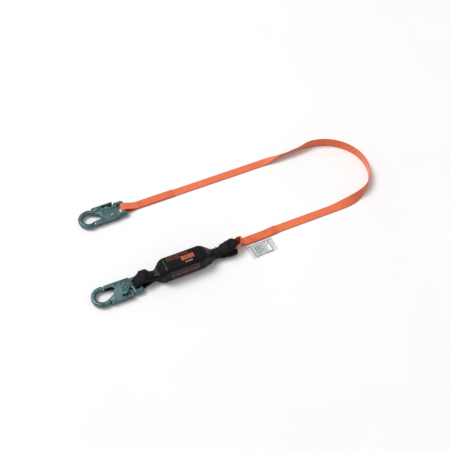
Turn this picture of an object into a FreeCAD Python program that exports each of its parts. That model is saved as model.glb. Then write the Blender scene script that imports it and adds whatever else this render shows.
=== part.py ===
import FreeCAD, Part

import math
import os

# Shock absorbing lanyard, 6 ft class, laid out on the floor as a U.
# Frame: +Z up from the floor, +X along the two straight runs towards the bend, origin at the
# centre of the harness hook's throat. Millimetres. The pieces are drawn with the floor at Z = 0
# and moved down by hook_height as they are written.

Vec = FreeCAD.Vector
X = Vec(1, 0, 0)
Y = Vec(0, 1, 0)
Z = Vec(0, 0, 1)

# Webbing
web_width = 25.4
web_thick = 2.2

# Layout on the floor
bend_centre = Vec(722, 137.3, 0)
bend_radius = 118.7
bend_hinges = 8
bend_step = 180.0 / bend_hinges
hinge_gap = 0.8
twist_length = 66.0
link_point = Vec(368, 8, 16.5)
link_heading = 9.0
anchor_throat = Vec(53.5, bend_centre.y + bend_radius, 0)
harness_heading = -1.0
hook_height = 9.5

# Snap hook, in its own frame: origin at the throat's centre, +X towards the eye,
# +Y on the gate's side, Z = 0 on the mid-plane
throat_radius = 18.0
nose_radius = 30.0
body_half = 6.0
eye_bar_x = 98.5
eye_bar_radius = 5.5
eye_slot = (82.0, 15.0)
eye_end = 104.0
gate_pivot = Vec(62, 14, 0)
cross_pin = Vec(54, -15, 0)
lever_pivot = Vec(24, -20, 0)
sheet = 1.2
sheet_gap = 0.4
rivet_radius = 2.6
rivet_clear = 0.06
head_radius = 4.4
head_height = 1.2

# Shock pack
pack_y = 0.5
pack_half_width = 27.5
pack_height = 46.0
pack_ends = (168, 275)
neck_ends = (152, 306)
neck_half_width = 14.5
neck_low = 5.0
neck_high = 27.0
neck_middle = (neck_low + neck_high) / 2
film = 1.2


def box(low, high):
    size = high - low
    return Part.makeBox(size.x, size.y, size.z, low)


def corner_arc(before, corner, after, radius):
    """The start, middle and end of the arc that rounds a corner."""
    back, ahead = (before - corner).normalize(), (after - corner).normalize()
    half = back.getAngle(ahead) / 2
    reach = radius / math.tan(half)
    inward = (back + ahead).normalize()
    middle = corner + inward * (radius / math.sin(half) - radius)
    return corner + back * reach, middle, corner + ahead * reach


def outline(corners, height):
    """A closed wire at z = height through corners of (x, y, radius)."""
    spots = [Vec(x, y, height) for x, y, _ in corners]
    arcs = []
    for i, (_, _, radius) in enumerate(corners):
        after = spots[(i + 1) % len(spots)]
        corner = spots[i]
        arcs.append(corner_arc(spots[i - 1], corner, after, radius) if radius else (corner, corner, corner))
    edges = []
    for i, (start, middle, end) in enumerate(arcs):
        last = arcs[i - 1][2]
        if last.distanceToPoint(start) > 1e-4:
            edges.append(Part.makeLine(last, start))
        if corners[i][2]:
            edges.append(Part.Arc(start, middle, end).toShape())
    return Part.Wire(edges)


def inset(corners, depth):
    """Moves an anticlockwise outline inwards by depth, and changes its corner radii to suit."""
    moved = []
    for i, (x, y, radius) in enumerate(corners):
        corner = Vec(x, y, 0)
        before, after = corners[i - 1], corners[(i + 1) % len(corners)]
        coming = (corner - Vec(before[0], before[1], 0)).normalize()
        going = (Vec(after[0], after[1], 0) - corner).normalize()
        left_in, left_out = Z.cross(coming), Z.cross(going)
        shift = (left_in + left_out) * (depth / (1 + left_in.dot(left_out)))
        convex = coming.cross(going).z > 0
        size = radius + (-depth if convex else depth) if radius else 0
        moved.append((x + shift.x, y + shift.y, size))
    return moved


def forging(corners, half, edge):
    """A plate with rounded rims. A negative edge flares it instead, for cutting a rounded hole."""
    size = abs(edge)
    steps = 4
    upper = []
    for i in range(steps + 1):
        turn = math.radians(90 * i / steps)
        upper.append((half - size + size * math.sin(turn), edge * (1 - math.cos(turn))))
    stations = [(-z, depth) for z, depth in reversed(upper)] + upper
    return Part.makeLoft([outline(inset(corners, depth), z) for z, depth in stations], True, True)


def plate(corners, low, high):
    """Extrudes a closed outline of (x, y, radius) corners from z = low to z = high."""
    return Part.Face(outline(corners, low)).extrude(Z * (high - low))


def rod(centre, radius, low, high):
    return Part.makeCylinder(radius, high - low, Vec(centre.x, centre.y, low))


def joined(shapes):
    """Fuses solids into one and tidies its faces."""
    whole = shapes[0].fuse(shapes[1:]) if len(shapes) > 1 else shapes[0]
    whole = whole.removeSplitter()
    return whole.Solids[0] if len(whole.Solids) == 1 else whole


def rounded(shape, radius, pick):
    """Fillets the edges that pick accepts, and keeps the sharp shape if the kernel can't."""
    edges = [edge for edge in shape.Edges if pick(edge)]
    try:
        smooth = shape.makeFillet(radius, edges)
        return smooth if smooth.isValid() else shape
    except Part.OCCError:
        return shape


def arc_point(radius, angle):
    turn = math.radians(angle)
    return radius * math.cos(turn), radius * math.sin(turn)


def tangent_corner(radius, first, last):
    """The corner whose rounding is the arc about the origin from one angle to another."""
    reach = radius / math.cos(math.radians((last - first) / 2))
    return arc_point(reach, (first + last) / 2) + (radius,)


def on_tangent(radius, angle, reach, rounding):
    """A corner on the line that touches the circle at an angle, reach further round from there."""
    x, y = arc_point(radius, angle)
    turn = math.radians(angle)
    return x - reach * math.sin(turn), y + reach * math.cos(turn), rounding


# ---------------------------------------------------------------- snap hook

gate_tip_x = 10.4
gate_outer_y = 26.8
cheek_low = body_half + sheet_gap
cheek_high = cheek_low + sheet
pocket_half = 2.6
pocket_radius = 6.4
forged_edge = 4.0
slot_edge = 2.0
notch_roof = -5.4
lever_outer_y = -29.6
lever_end = 74.5


def hook_outline():
    """The forging's outer edge: a round nose, a spine, the eye, and a flat shoulder under the gate."""
    nose = [on_tangent(nose_radius, 85, -5.8, 4.2), tangent_corner(nose_radius, 85, 190),
            tangent_corner(nose_radius, 190, 300), on_tangent(nose_radius, 300, 2.5, 4)]
    spine = [(49, -23.4, 4.4), (50.5, notch_roof, 3), (75.5, notch_roof, 3), (75.5, -26, 4.4)]
    eye = [(eye_end, -26, 9), (eye_end, 26, 9)]
    shoulder = [(78, 26, 8), (70, 22.5, 8), (54, 22.5, 12), (32, 10, 6)]
    throat = [on_tangent(throat_radius, 300, 24, 6), tangent_corner(throat_radius, 300, 185),
              tangent_corner(throat_radius, 185, 70), on_tangent(throat_radius, 70, -3.0, 4.2)]
    return nose + spine + eye + shoulder + throat


def hook_body():
    body = forging(hook_outline(), body_half, forged_edge)
    slot_low, slot_half = eye_slot
    past = eye_end + 5
    slot = forging([(slot_low, -slot_half, 4), (past, -slot_half, 0), (past, slot_half, 0),
                    (slot_low, slot_half, 4)], body_half, -slot_edge)
    bar_half = slot_half + slot_edge
    bar = Part.makeCylinder(eye_bar_radius, 2 * bar_half, Vec(eye_bar_x, -bar_half, 0), Y)
    body = body.cut(slot).fuse(bar)
    for pivot in (gate_pivot, lever_pivot):
        body = body.cut(rod(pivot, rivet_radius + rivet_clear, -body_half, body_half))
        body = body.cut(rod(pivot, pocket_radius, -pocket_half, pocket_half))
    channel = box(Vec(34, 8, -pocket_half), Vec(gate_pivot.x, 26, pocket_half))
    lever_room = box(Vec(lever_pivot.x, -28, -pocket_half), Vec(44, -18.5, pocket_half))
    return body.cut(channel).cut(lever_room).Solids[0]


def both_cheeks(corners):
    return [plate(corners, cheek_low, cheek_high), plate(corners, -cheek_high, -cheek_low)]


def pinned(shape, pivot, clearance):
    """Drills a rivet's hole through both cheeks."""
    return shape.cut(rod(pivot, rivet_radius + clearance, -cheek_high, cheek_high))


def gate():
    """A folded channel: a web along the outside, and two cheeks that hold the pivot and cross pin."""
    edge = [(gate_tip_x, gate_outer_y, 0), (gate_tip_x, 23.4, 0.8), (2.5, 22.4, 1.5), (3, 18.7, 1),
            (32, 15.4, 8), (48, -19.4, 5), (58.6, -19.4, 5), (78, 4, 12), (78, gate_outer_y, 4)]
    web = box(Vec(gate_tip_x, gate_outer_y - sheet, -cheek_high), Vec(74, gate_outer_y, cheek_high))
    channel = joined(both_cheeks(edge) + [web])
    channel = rounded(channel, 0.9, lambda e: e.BoundBox.YLength < 0.01 and e.BoundBox.XLength > 60)
    return pinned(pinned(channel, gate_pivot, rivet_clear), cross_pin, 0).Solids[0]


def lock_lever():
    """A folded channel over the spine, with a hooked catch that the gate's cross pin meets."""
    edge = [(15, lever_outer_y, 0), (14.4, -13.4, 4), (29, -13, 8), (46, -25.6, 10),
            (lever_end, -26.6, 1), (lever_end, lever_outer_y, 0)]
    web = box(Vec(15, lever_outer_y, -cheek_high), Vec(lever_end, lever_outer_y + sheet, cheek_high))
    catch = [(58.6, -13.7, 0.3), (58.6, -11.2, 0.8), (73.4, -11.2, 2), (74.4, lever_outer_y, 0),
             (70.2, lever_outer_y, 0), (70.2, -13.7, 1)]
    lever = joined(both_cheeks(edge) + [web, plate(catch, -4, 4)])
    lever = rounded(lever, 0.9, lambda e: e.BoundBox.YLength < 0.01 and e.BoundBox.XLength > 50)
    return pinned(lever, lever_pivot, rivet_clear).Solids[0]


def rivet(pivot, radius):
    """A rivet through body and cheeks, with a domed head on each side."""
    low, high = -cheek_high - 0.1, cheek_high + 0.1
    shank = rod(pivot, radius, low, high)
    top = rod(pivot, head_radius, high, high + head_height)
    bottom = rod(pivot, head_radius, low - head_height, low)
    crown = high + head_height
    heads = [rounded(head, 0.8, lambda e: abs(abs(e.BoundBox.Center.z) - crown) < 0.01)
             for head in (top, bottom)]
    return joined([shank] + heads)


def crossbar():
    """The gate's cross pin, pressed into both cheeks and peened flush."""
    return rod(cross_pin, rivet_radius, -cheek_high, cheek_high).fuse(
        [rod(cross_pin, 3.4, cheek_high, cheek_high + 0.6),
         rod(cross_pin, 3.4, -cheek_high - 0.6, -cheek_high)]).removeSplitter().Solids[0]


def torsion_spring(pivot, leg, half_turn):
    """A close coil round a rivet, its top turn running out into a straight leg on -X."""
    wire_radius = 0.55
    coil_radius = 4.6
    pitch = 1.0
    turns = 3
    top = pitch * (turns - 1) / 2
    free_end = Vec(*arc_point(coil_radius, 130), top)
    middle = Vec(coil_radius, 0, top)
    bend = Vec(0, coil_radius, top)
    leg_end = Vec(-leg, coil_radius, top)
    last_turn = Part.Wire([Part.makeLine(leg_end, bend), Part.Arc(bend, middle, free_end).toShape()])
    profile = Part.Wire(Part.makeCircle(wire_radius, leg_end, X))
    spring = last_turn.makePipeShell([profile], True, True)
    for i in range(turns - 1):
        spring = spring.fuse(Part.makeTorus(coil_radius, wire_radius, Vec(0, 0, pitch * i - top)))
    if half_turn:
        spring.rotate(Vec(0, 0, 0), Z, 180)
    spring.translate(pivot)
    return spring.Solids[0]


def hook_parts():
    return {
        "hook_body": hook_body(),
        "gate": gate(),
        "gate_rivet": rivet(gate_pivot, rivet_radius),
        "gate_cross_pin": crossbar(),
        "gate_spring": torsion_spring(gate_pivot, 24, False),
        "lock_lever": lock_lever(),
        "lock_rivet": rivet(lever_pivot, rivet_radius),
        "lock_spring": torsion_spring(lever_pivot, 17, True),
    }


def place_hook(shape, throat, heading, turned_over):
    placed = shape.copy()
    if turned_over:
        placed.rotate(Vec(0, 0, 0), X, 180)
    placed.rotate(Vec(0, 0, 0), Z, heading)
    placed.translate(Vec(throat.x, throat.y, hook_height))
    return placed


# ---------------------------------------------------------------- webbing

def strap_section(centre, heading, roll, thick):
    """A webbing cross-section: roll 0 lies flat, roll 90 stands on its edge."""
    turn, tip = math.radians(heading), math.radians(roll)
    side = Vec(-math.sin(turn), math.cos(turn), 0)
    across = side * math.cos(tip) + Z * math.sin(tip)
    normal = Z * math.cos(tip) - side * math.sin(tip)
    half, skin = across * (web_width / 2), normal * (thick / 2)
    corners = [centre + half + skin, centre - half + skin, centre - half - skin, centre + half - skin]
    return Part.makePolygon(corners + corners[:1])


def resting_height(roll, thick):
    tip = math.radians(abs(roll))
    return web_width / 2 * math.sin(tip) + thick / 2 * math.cos(tip)


def strap(stations, layers=1):
    """Lofts webbing through stations of (x, y, heading, roll), resting on the floor."""
    thick = layers * web_thick
    sections = [strap_section(Vec(x, y, resting_height(roll, thick)), heading, roll, thick)
                for x, y, heading, roll in stations]
    return Part.makeLoft(sections, True, True)


def twist_stations(x_flat, x_edge, y, roll_edge):
    steps = 6
    return [(x_flat + (x_edge - x_flat) * i / steps, y, 0, roll_edge * (1 - math.cos(math.pi * i / steps)) / 2)
            for i in range(steps + 1)]


def bend_piece(start, end, start_gap, end_gap):
    """Standing webbing round the bend, between two angles about its centre."""
    first = start + math.degrees(start_gap / bend_radius)
    last = end - math.degrees(end_gap / bend_radius)
    low = Vec(bend_radius - web_thick / 2, 0, 0)
    standing = box(low, Vec(bend_radius + web_thick / 2, 0.01, web_width)).Faces
    face = [f for f in standing if f.CenterOfMass.y < 0.001 and f.normalAt(0, 0).y < -0.9][0]
    piece = face.revolve(Vec(0, 0, 0), Z, last - first)
    piece.rotate(Vec(0, 0, 0), Z, first)
    piece.translate(bend_centre)
    return piece


def hinge_angle(index):
    return -90 + bend_step * (index + 0.5)


def eye_profile(inner_radius, outer_radius, length, tail_low, tail_high, inner_length):
    """A webbing eye seen from the side: a ring round the origin drawn out to a flat tail on +X."""
    def drop(radius, reach, low, high):
        slope_high = math.atan2(high, reach) + math.acos(min(1, radius / math.hypot(reach, high)))
        slope_low = math.atan2(low, reach) - math.acos(min(1, radius / math.hypot(reach, low)))
        steps = 24
        sweep = slope_low + 2 * math.pi - slope_high
        ring = [(radius * math.cos(slope_high + sweep * i / steps),
                 radius * math.sin(slope_high + sweep * i / steps)) for i in range(steps + 1)]
        return ring + [(reach, low), (reach, high)]
    middle = (tail_low + tail_high) / 2
    outer = drop(outer_radius, length, tail_low, tail_high)
    inner = drop(inner_radius, inner_length, middle - 0.05, middle + 0.05)
    return outer, inner


def eye(profile, width):
    """Extrudes an eye across Y, centred."""
    outer, inner = ([Vec(x, -width / 2, z) for x, z in ring] for ring in profile)
    solids = [Part.Face(Part.makePolygon(ring + ring[:1])).extrude(Y * width) for ring in (outer, inner)]
    return solids[0].cut(solids[1]).Solids[0]


def in_link_frame(shape):
    placed = shape.copy()
    placed.rotate(Vec(0, 0, 0), Z, link_heading)
    placed.translate(link_point)
    return placed


link_slack = 0.4
loop_width = 26.0
sleeve_width = 28.8
eye_gap = sleeve_width + 2 * link_slack + web_thick
eye_wall = 0.0
eye_standing = 17.0
eye_flat = 46.0
lap_stations = ((455, 15.9, 2, 0), (500, bend_centre.y - bend_radius, 0, 0))


def link_spot(along):
    """The floor position and heading of a point along the link's centre line."""
    turn = math.radians(link_heading)
    return link_point.x + along * math.cos(turn), link_point.y + along * math.sin(turn), link_heading, 0


def eye_leg(side):
    """One leg of the standing eye, which closes on the other and twists until it lies flat."""
    steps = 8
    sections = []
    for i in range(steps + 1):
        done = (1 - math.cos(math.pi * i / steps)) / 2
        roll = 90 * (1 - done)
        tip = math.radians(roll)
        apart = eye_gap + (web_thick - eye_gap) * done
        rest = (apart + web_thick) / 2 * math.cos(tip) + web_width / 2 * math.sin(tip)
        lift = (link_point.z - web_width / 2) * (1 - done)
        centre = Vec(eye_standing + (eye_flat - eye_standing) * i / steps,
                     -side * math.sin(tip) * apart / 2,
                     rest + lift - link_point.z + side * math.cos(tip) * apart / 2)
        sections.append(strap_section(centre, 0, roll, web_thick))
    return Part.makeLoft(sections, True, True)


def standing_eye():
    """The webbing's end round the lanyard loop, standing on its edge, in the link's frame."""
    half, skin, high = eye_gap / 2, web_thick / 2, web_width / 2
    wall = box(Vec(eye_wall, -half - skin, -high), Vec(eye_wall + web_thick, half + skin, high))
    pieces = [wall]
    for side in (1, -1):
        y = -side * half
        pieces.append(box(Vec(eye_wall, y - skin, -high), Vec(eye_standing, y + skin, high)))
        pieces.append(eye_leg(side))
    return pieces


def pack_run():
    """The pack's end of the webbing: eye, doubled length, straight run, twist and first of the bend."""
    lap = strap((link_spot(eye_flat),) + lap_stations, 2)
    run_y = bend_centre.y - bend_radius
    single = strap([lap_stations[-1]] + twist_stations(bend_centre.x - twist_length, bend_centre.x, run_y, 90))
    standing = bend_piece(-90, hinge_angle(0), 0, hinge_gap / 2)
    return joined([in_link_frame(piece) for piece in standing_eye()] + [lap, single, standing])


def anchor_run():
    """The anchor's end of the webbing: last of the bend, twist, straight run, doubled length and eye."""
    run_y = bend_centre.y + bend_radius
    bar = anchor_throat.x + eye_bar_x
    lap_low, lap_high = bar + 34, bar + 150
    inner = eye_bar_radius + 0.7
    ring = eye(eye_profile(inner, inner + web_thick, lap_low - bar, -hook_height,
                           2 * web_thick - hook_height, 24), web_width)
    ring.translate(Vec(bar, run_y, hook_height))
    lap = box(Vec(lap_low, run_y - web_width / 2, 0), Vec(lap_high, run_y + web_width / 2, 2 * web_thick))
    single = strap([(lap_high, run_y, 0, 0)]
                   + twist_stations(bend_centre.x - twist_length, bend_centre.x, run_y, -90))
    standing = bend_piece(hinge_angle(bend_hinges - 1), 90, hinge_gap / 2, 0)
    return joined([ring, lap, single, standing])


def stitches(length, rows, pitch):
    """Rows of raised thread on a doubled length, along +X from the origin, plus a bar at each end."""
    stitch, thread, rise = pitch * 0.62, 0.9, 0.35
    threads = []
    for row in range(rows):
        y = (row / (rows - 1) - 0.5) * (web_width - 6)
        for i in range(int(length / pitch)):
            threads.append(box(Vec(i * pitch, y - thread / 2, 0), Vec(i * pitch + stitch, y + thread / 2, rise)))
    for x in (-2 * thread, length + thread):
        threads.append(box(Vec(x, 3 - web_width / 2, 0), Vec(x + thread, web_width / 2 - 3, rise)))
    return Part.makeCompound(threads)


def anchor_stitching():
    seam = stitches(104, 4, 6.5)
    seam.translate(Vec(anchor_throat.x + eye_bar_x + 40, bend_centre.y + bend_radius, 2 * web_thick))
    return seam


def pack_stitching():
    seam = stitches(52, 4, 6.5)
    seam.rotate(Vec(0, 0, 0), Z, 1.5)
    seam.translate(Vec(433, 15.6, 2 * web_thick))
    return seam


# ---------------------------------------------------------------- shock pack

def rounded_section(x, half_width, low, high, radius):
    """A rounded rectangle across the pack at x, as one closed wire."""
    left, right = pack_y - half_width, pack_y + half_width
    corners = ((right - radius, high - radius, 0), (left + radius, high - radius, 90),
               (left + radius, low + radius, 180), (right - radius, low + radius, 270))
    edges, last = [], None
    for y, z, start in corners:
        spots = []
        for angle in (start, start + 45, start + 90):
            dy, dz = arc_point(radius, angle)
            spots.append(Vec(x, y + dy, z + dz))
        if last is not None:
            edges.append(Part.makeLine(last, spots[0]))
        else:
            first = spots[0]
        edges.append(Part.Arc(*spots).toShape())
        last = spots[-1]
    edges.append(Part.makeLine(last, first))
    return Part.Wire(edges)


def pack_hull(skin):
    """The pack's outside, drawn in by skin: neck, shoulder, box, shoulder, neck."""
    (neck_left, neck_right), (box_left, box_right) = neck_ends, pack_ends
    neck_mouth = 14
    sections = []
    for x, is_neck in ((neck_left - neck_mouth, True), (neck_left, True), (box_left, False),
                       (box_right, False), (neck_right, True), (neck_right + neck_mouth, True)):
        half = neck_half_width if is_neck else pack_half_width
        low = neck_low if is_neck else 0
        high = neck_high if is_neck else pack_height
        sections.append(rounded_section(x, half - skin, low + skin, high - skin, 7 - skin))
    return Part.makeLoft(sections, True, True)


def pack_cover():
    return pack_hull(0).cut(pack_hull(film)).Solids[0]


tear_thick = 2.8
tear_gap = 0.9
tear_layers = 11
tear_stack = tear_layers * (tear_thick + tear_gap) - tear_gap


def tear_webbing():
    """The energy absorber: one webbing folded back and forth, layer on layer."""
    width, thick, gap, layers = 40.0, tear_thick, tear_gap, tear_layers
    left, right = pack_ends[0] + 6, pack_ends[1] - 6
    low = pack_height / 2 - tear_stack / 2
    pieces = []
    for layer in range(layers):
        z = low + layer * (thick + gap)
        pieces.append(box(Vec(left, pack_y - width / 2, z), Vec(right, pack_y + width / 2, z + thick)))
        if layer < layers - 1:
            x = right if layer % 2 == 0 else left
            outer = thick + gap / 2
            centre = Vec(x, pack_y - width / 2, z + outer)
            fold = Part.makeCylinder(outer, width, centre, Y)
            fold = fold.cut(Part.makeCylinder(gap / 2, width, centre, Y))
            keep = x if x == right else x - outer
            half = box(Vec(keep, pack_y - width / 2, z), Vec(keep + outer, pack_y + width / 2, z + 2 * outer))
            pieces.append(fold.common(half))
    return joined(pieces)


def tear_stitching():
    """Rows of thread across the top of the folded webbing, which tear one after another in a fall."""
    top = pack_height / 2 + tear_stack / 2
    rows = [box(Vec(x, pack_y - 16, top), Vec(x + 1.2, pack_y + 16, top + 0.4))
            for x in range(pack_ends[0] + 13, pack_ends[1] - 13, 7)]
    return Part.makeCompound(rows)


def pack_label():
    """A thin printed band over the cover's top."""
    left, right = pack_ends
    low = Vec(left + 8, pack_y - 17, pack_height + 0.02)
    return box(low, Vec(right - 8, pack_y + 17, pack_height + 0.32))


loop_thick = 2.2
sleeve_thick = 0.8
bar_room = eye_bar_radius + 0.7
bar_reach = 30.0
link_room = web_width / 2 + 0.5
link_reach = 42.0
core_half_width = 11.5
core_half_height = 7.0


def loop_profile(room, reach, middle, grow):
    """A black loop's side view, drawn out to a tail on +X, with its outside grown by a skin."""
    tail = 9 + 1.1 * grow
    return eye_profile(room, room + loop_thick + grow, reach, middle - tail, middle + tail, reach - 8)


def loop(room, reach, middle):
    return eye(loop_profile(room, reach, middle, 0), loop_width)


def sleeve(room, reach, middle):
    """The wear sleeve outside a black loop, ending short of its tail."""
    fit = 0.05
    outside = loop_profile(room, reach, middle, sleeve_thick)[0]
    inside = loop_profile(room, reach, middle, fit)[0]
    skin = eye((outside, inside), sleeve_width)
    end = box(Vec(reach - 4, -sleeve_width, -40), Vec(reach + 1, sleeve_width, 60))
    return skin.cut(end).Solids[0]


def core(left, right):
    """A loop's two legs where the neck presses them together."""
    return box(Vec(left, pack_y - core_half_width, neck_middle - core_half_height),
               Vec(right, pack_y + core_half_width, neck_middle + core_half_height))


def on_harness_bar(shape):
    placed = shape.copy()
    placed.translate(Vec(eye_bar_x, 0, 0))
    placed.rotate(Vec(0, 0, 0), Z, harness_heading)
    placed.translate(Vec(0, 0, hook_height))
    return placed


def on_link(shape):
    """Turns a loop's tail to the pack, and places it at the link."""
    placed = shape.copy()
    placed.rotate(Vec(0, 0, 0), Z, 180)
    return in_link_frame(placed)


def harness_loop():
    """Black webbing round the harness hook's eye bar, whose two legs run into the pack."""
    ring = loop(bar_room, bar_reach, neck_middle - hook_height)
    return joined([on_harness_bar(ring), core(126, 166)])


def harness_sleeve():
    return on_harness_bar(sleeve(bar_room, bar_reach, neck_middle - hook_height))


def lanyard_loop():
    """Black webbing round the lanyard's standing eye, whose two legs run into the pack."""
    ring = loop(link_room, link_reach, neck_middle - link_point.z)
    return joined([on_link(ring), core(275, 330)])


def lanyard_loop_sleeve():
    return on_link(sleeve(link_room, link_reach, neck_middle - link_point.z))


# ---------------------------------------------------------------- label pouch

pouch_point = Vec(440, -1, 0)
pouch_heading = 1.5
pouch_left = -45.0
pouch_right = 33.0
pouch_depth = 45.0
pouch_hem = 5.0


def pouch_box(low, high):
    """A box in the pouch's frame: its sewn edge is the X axis, and it hangs towards -Y."""
    placed = box(low, high)
    placed.rotate(Vec(0, 0, 0), Z, pouch_heading)
    placed.translate(pouch_point)
    return placed


def label_pouch():
    """A clear vinyl sleeve that hangs from the webbing's near edge and lies on the floor."""
    return pouch_box(Vec(pouch_left, -pouch_depth, 0.1), Vec(pouch_right, 0, 1.0))


def label_card():
    return pouch_box(Vec(-32, 3 - pouch_depth, 1.05), Vec(20, -pouch_hem, 1.45))


def label_booklet():
    return pouch_box(Vec(-28, 6 - pouch_depth, 1.5), Vec(5, -pouch_hem - 3, 2.5))


def label_tether():
    """The sewn strip that holds the pouch, lying on the doubled length."""
    top = 2 * web_thick + 0.4
    return pouch_box(Vec(-16, 8, top), Vec(-4, 18, top + 0.6))


# ---------------------------------------------------------------- export

def all_nodes():
    nodes = {}
    for name, shape in hook_parts().items():
        nodes["harness_" + name] = place_hook(shape, Vec(0, 0, 0), harness_heading, False)
        nodes["anchor_" + name] = place_hook(shape, anchor_throat, 0, True)
    nodes["webbing_pack_run"] = pack_run()
    nodes["webbing_anchor_run"] = anchor_run()
    for i in range(bend_hinges - 1):
        nodes["webbing_bend_%d" % (i + 1)] = bend_piece(
            hinge_angle(i), hinge_angle(i + 1), hinge_gap / 2, hinge_gap / 2)
    nodes["anchor_end_stitching"] = anchor_stitching()
    nodes["pack_end_stitching"] = pack_stitching()
    nodes["pack_cover"] = pack_cover()
    nodes["pack_label"] = pack_label()
    nodes["tear_webbing"] = tear_webbing()
    nodes["tear_stitching"] = tear_stitching()
    nodes["harness_loop"] = harness_loop()
    nodes["harness_loop_sleeve"] = harness_sleeve()
    nodes["lanyard_loop"] = lanyard_loop()
    nodes["lanyard_loop_sleeve"] = lanyard_loop_sleeve()
    nodes["label_pouch"] = label_pouch()
    nodes["label_card"] = label_card()
    nodes["label_booklet"] = label_booklet()
    nodes["label_tether"] = label_tether()
    return nodes


os.makedirs("parts", exist_ok=True)
for name, shape in all_nodes().items():
    shape.translate(Vec(0, 0, -hook_height))
    shape.exportStep("parts/%s.step" % name)
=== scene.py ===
import math

import bmesh
import bpy
from mathutils import Matrix, Vector, noise


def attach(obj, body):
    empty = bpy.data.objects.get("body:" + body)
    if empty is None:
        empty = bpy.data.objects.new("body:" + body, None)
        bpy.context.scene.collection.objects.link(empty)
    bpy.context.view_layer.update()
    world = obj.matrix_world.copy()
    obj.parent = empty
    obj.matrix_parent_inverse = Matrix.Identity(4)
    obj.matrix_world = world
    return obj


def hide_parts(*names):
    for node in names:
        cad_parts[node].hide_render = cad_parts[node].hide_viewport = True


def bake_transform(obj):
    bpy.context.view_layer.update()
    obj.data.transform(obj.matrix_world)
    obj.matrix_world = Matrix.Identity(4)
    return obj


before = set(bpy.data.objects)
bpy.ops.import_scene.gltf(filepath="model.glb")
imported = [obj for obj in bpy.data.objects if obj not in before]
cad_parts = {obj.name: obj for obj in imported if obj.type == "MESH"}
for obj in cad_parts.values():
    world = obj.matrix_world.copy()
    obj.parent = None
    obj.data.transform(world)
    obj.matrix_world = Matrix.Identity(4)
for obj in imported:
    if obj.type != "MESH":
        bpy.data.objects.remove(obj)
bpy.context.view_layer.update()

# Sizes are in millimetres over the floor, in the frame's directions. metres() turns them into
# the frame's own coordinates, whose origin is at the height of the hooks' mid-plane.
MM = 0.001
X, Y, Z = Vector((1, 0, 0)), Vector((0, 1, 0)), Vector((0, 0, 1))
bar_height = 9.5

# Webbing and its path over the floor
web_half = 12.7
web_thick = 2.15
selvedge_round = 1.1
layer_1 = 1.1
layer_2 = 3.3
bend_centre = Vector((722, 137.3, 0))
bend_radius = 118.7
near_y = bend_centre.y - bend_radius
far_y = bend_centre.y + bend_radius
bend_length = math.pi * bend_radius

# How far the webbing is tipped up, in degrees, at distances into the bend from its near and far ends.
# Negative distances are on the straight runs.
near_roll = ((-58, 0), (96, 94))
far_roll = ((-152, 0), (-84, 44), (-42, 57), (15, 94))

# Bodies of the bend, degrees from hinge to hinge, and the spacing of the webbing's cross-sections:
# how many there are from hinge to hinge, and the gap between them on the straight runs
bend_bodies = 7
bend_stops = 15
stop_gap = 3

# Link between the webbing's standing eye and the black loop
link_point = Vector((366, 6.5, 15.9))
link_heading = math.radians(18)
link_ahead = Vector((math.cos(link_heading), math.sin(link_heading), 0))
link_side = Z.cross(link_ahead)
link_radius = 14.0
link_lean = math.radians(18)
link_up = Z * math.cos(link_lean) - link_side * math.sin(link_lean)
eye_half = 11
eye_wall = 1.6
eye_corner = 5
eye_standing = 15
lap_start_x = 401
lap_end_x = 500
lap_places = ((lap_start_x, 15.3), (455, 15.4), (506, near_y))

# Hook eyes
bar_reach = 98.5
anchor_throat_x = 53.5
harness_heading = math.radians(-1)
harness_out = Vector((math.cos(harness_heading), math.sin(harness_heading), 0))
harness_bar = harness_out * bar_reach + Z * bar_height
anchor_bar = Vector((anchor_throat_x + bar_reach, far_y, bar_height))
anchor_lap = (34, 150)
bar_wrap_radius = 7.4

# Shock pack
pack_y = 2.0
pack_mouths = (130, 320)


# ------------------------------------------------------------------ mesh helpers

def metres(point):
    """A point in millimetres over the floor, in the frame's metres."""
    return (point - Z * bar_height) * MM


def made(name, points, faces, finish, uvs=None):
    """A smooth-shaded mesh object from points in millimetres."""
    mesh = bpy.data.meshes.new(name)
    mesh.from_pydata([metres(p) for p in points], [], faces)
    if uvs:
        layer = mesh.uv_layers.new(name="cloth")
        for loop in mesh.loops:
            layer.data[loop.index].uv = uvs[loop.vertex_index]
    shell = bmesh.new()
    shell.from_mesh(mesh)
    bmesh.ops.recalc_face_normals(shell, faces=shell.faces)
    shell.to_mesh(mesh)
    shell.free()
    mesh.polygons.foreach_set("use_smooth", [True] * len(mesh.polygons))
    for edge in mesh.edges:
        edge.use_edge_sharp = False
    mesh.materials.append(finish)
    piece = bpy.data.objects.new(name, mesh)
    bpy.context.scene.collection.objects.link(piece)
    return piece


def sharpen(piece, angle=40):
    """Keeps edges crisp where faces meet at more than an angle in degrees."""
    shell = bmesh.new()
    shell.from_mesh(piece.data)
    for edge in shell.edges:
        edge.smooth = len(edge.link_faces) < 2 or edge.calc_face_angle() < math.radians(angle)
    shell.to_mesh(piece.data)
    shell.free()
    return piece


def skinned(name, rings, finish, uvs=None):
    """A closed skin over rings of points, with a flat cap at each end."""
    size = len(rings[0])
    faces = []
    for r in range(len(rings) - 1):
        for i in range(size):
            j = (i + 1) % size
            faces.append((r * size + i, r * size + j, (r + 1) * size + j, (r + 1) * size + i))
    last = (len(rings) - 1) * size
    faces.append(tuple(range(size)))
    faces.append(tuple(last + i for i in range(size)))
    return sharpen(made(name, [p for ring in rings for p in ring], faces, finish, uvs), 60)


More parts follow.
